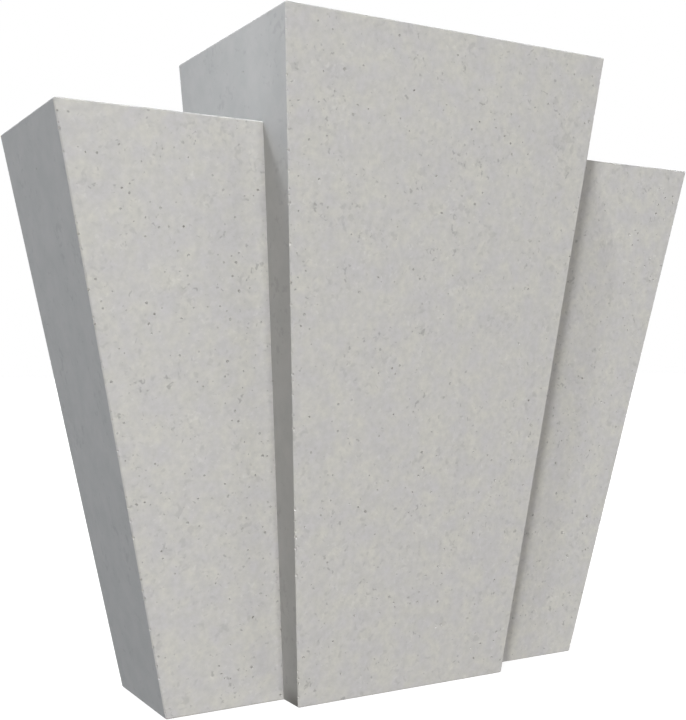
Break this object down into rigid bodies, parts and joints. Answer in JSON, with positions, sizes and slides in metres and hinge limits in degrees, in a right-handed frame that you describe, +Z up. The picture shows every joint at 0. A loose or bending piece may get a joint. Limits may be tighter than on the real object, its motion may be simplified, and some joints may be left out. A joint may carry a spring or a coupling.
{
  "type": "keystone",
  "caption": "Stepped cast-stone keystone: a tapering centre block stands proud of lower wings, with raked fronts and a flat back, for the crown of an arch or lintel.",
  "frame": {"origin": "on the bed, under the middle of the bounding box", "axes": "+X to the right seen from the front, +Y from the raked front to the flat back, +Z up from the bed to the top"},
  "size_m": [0.3046, 0.1015, 0.2667],
  "materials": {
    "cast_stone": "matte"
  },
  "bodies": {
    "root": {"keystone": "cast_stone"}
  },
  "joints": []
}
